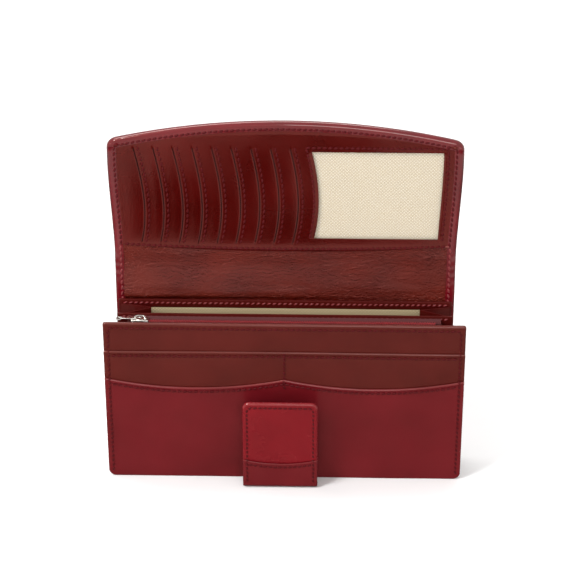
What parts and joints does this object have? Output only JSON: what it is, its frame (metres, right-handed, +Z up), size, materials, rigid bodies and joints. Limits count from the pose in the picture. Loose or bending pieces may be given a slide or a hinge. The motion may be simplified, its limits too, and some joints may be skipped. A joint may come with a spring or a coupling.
{
  "type": "long wallet",
  "caption": "Upright long wallet with an arched fold-over card flap, zipped pocket, banknote compartment, stepped front pockets and a snap tab.",
  "frame": {"origin": "on the surface the wallet stands on, at the middle of its width and inside its foot", "axes": "+X to the wallet's right as seen from the front, +Y to the back, +Z up"},
  "size_m": [0.19, 0.0429, 0.2003],
  "materials": {
    "patent_cover": "polished, high gloss",
    "tab_leather": "polished, glossy",
    "pocket_leather": "polished",
    "panel_leather": "polished",
    "inner_leather": "satin",
    "spine_leather": "soft satin with fine creases",
    "cream_cloth": "woven twill",
    "slot_cloth": "woven lining",
    "board": "matte fibre board, hidden",
    "zip_tape": "woven tape",
    "zip_teeth": "moulded coil",
    "nickel": "bright nickel plate",
    "clear_film": "clear flexible film"
  },
  "bodies": {
    "root": {"cover_base": "patent_cover", "cover_back": "patent_cover", "back_board": "board", "back_lining": "spine_leather", "rear_wall_panel": "inner_leather", "rear_wall_lining": "cream_cloth", "rear_wall_band": "inner_leather", "gusset_left": "inner_leather", "gusset_right": "inner_leather"},
    "front": {"pocket_scalloped": "pocket_leather", "pocket_middle": "panel_leather", "leaf_top_band": "panel_leather", "leaf_board": "board", "leaf_lining": "inner_leather", "middle_wall_facing": "inner_leather", "middle_wall_lining": "cream_cloth", "zip_pocket_lining": "cream_cloth", "zip_gusset_left": "inner_leather", "zip_gusset_right": "inner_leather", "zip_tape_front": "zip_tape", "zip_tape_rear": "zip_tape", "zip_teeth_front": "zip_teeth", "zip_teeth_rear": "zip_teeth", "zip_stop_left": "nickel", "zip_stop_right": "nickel", "tab_strap": "tab_leather"},
    "slider": {"zip_slider": "nickel"},
    "pull": {"zip_pull": "nickel"},
    "tab": {"tab_head": "tab_leather", "tab_lining": "inner_leather", "tab_board": "board", "tab_pocket": "tab_leather", "snap_socket": "nickel"},
    "spine": {"cover_spine": "patent_cover", "spine_padding": "board", "spine_lining": "spine_leather"},
    "flap": {"cover_flap": "patent_cover", "flap_board": "board", "flap_backing": "cream_cloth", "card_panel": "panel_leather", "window_film": "clear_film", "window_lining": "cream_cloth", "snap_stud": "nickel", "slot_liner_1": "slot_cloth", "slot_liner_2": "slot_cloth", "slot_liner_3": "slot_cloth", "slot_liner_4": "slot_cloth", "slot_liner_5": "slot_cloth", "slot_liner_6": "slot_cloth", "slot_liner_7": "slot_cloth", "slot_liner_8": "slot_cloth", "slot_liner_9": "slot_cloth"}
  },
  "joints": [
    {"name": "spine_fold", "type": "hinge", "parent": "root", "child": "spine", "pos_m": [0, 0.01117, 0.10011], "axis": [1, 0, 0], "range_deg": [-30, 92]},
    {"name": "flap_fold", "type": "hinge", "parent": "spine", "child": "flap", "pos_m": [0, 0.01209, 0.12639], "axis": [1, 0, 0], "range_deg": [-30, 93.5]},
    {"name": "front_open", "type": "hinge", "parent": "root", "child": "front", "pos_m": [0, -0.0057, 0.0007], "axis": [-1, 0, 0], "range_deg": [-18, 0], "deforming": ["gusset_left", "gusset_right"]},
    {"name": "tab_swing", "type": "hinge", "parent": "front", "child": "tab", "pos_m": [0, -0.01741, 0.00245], "axis": [-1, 0, 0], "range_deg": [-90, 0]},
    {"name": "zip_slide", "type": "slide", "parent": "front", "child": "slider", "axis": [1, 0, 0], "range_m": [0, 0.1515]},
    {"name": "pull_swing", "type": "hinge", "parent": "slider", "child": "pull", "pos_m": [-0.07575, -0.00653, 0.09666], "axis": [0, 1, 0], "range_deg": [0, 180]}
  ]
}
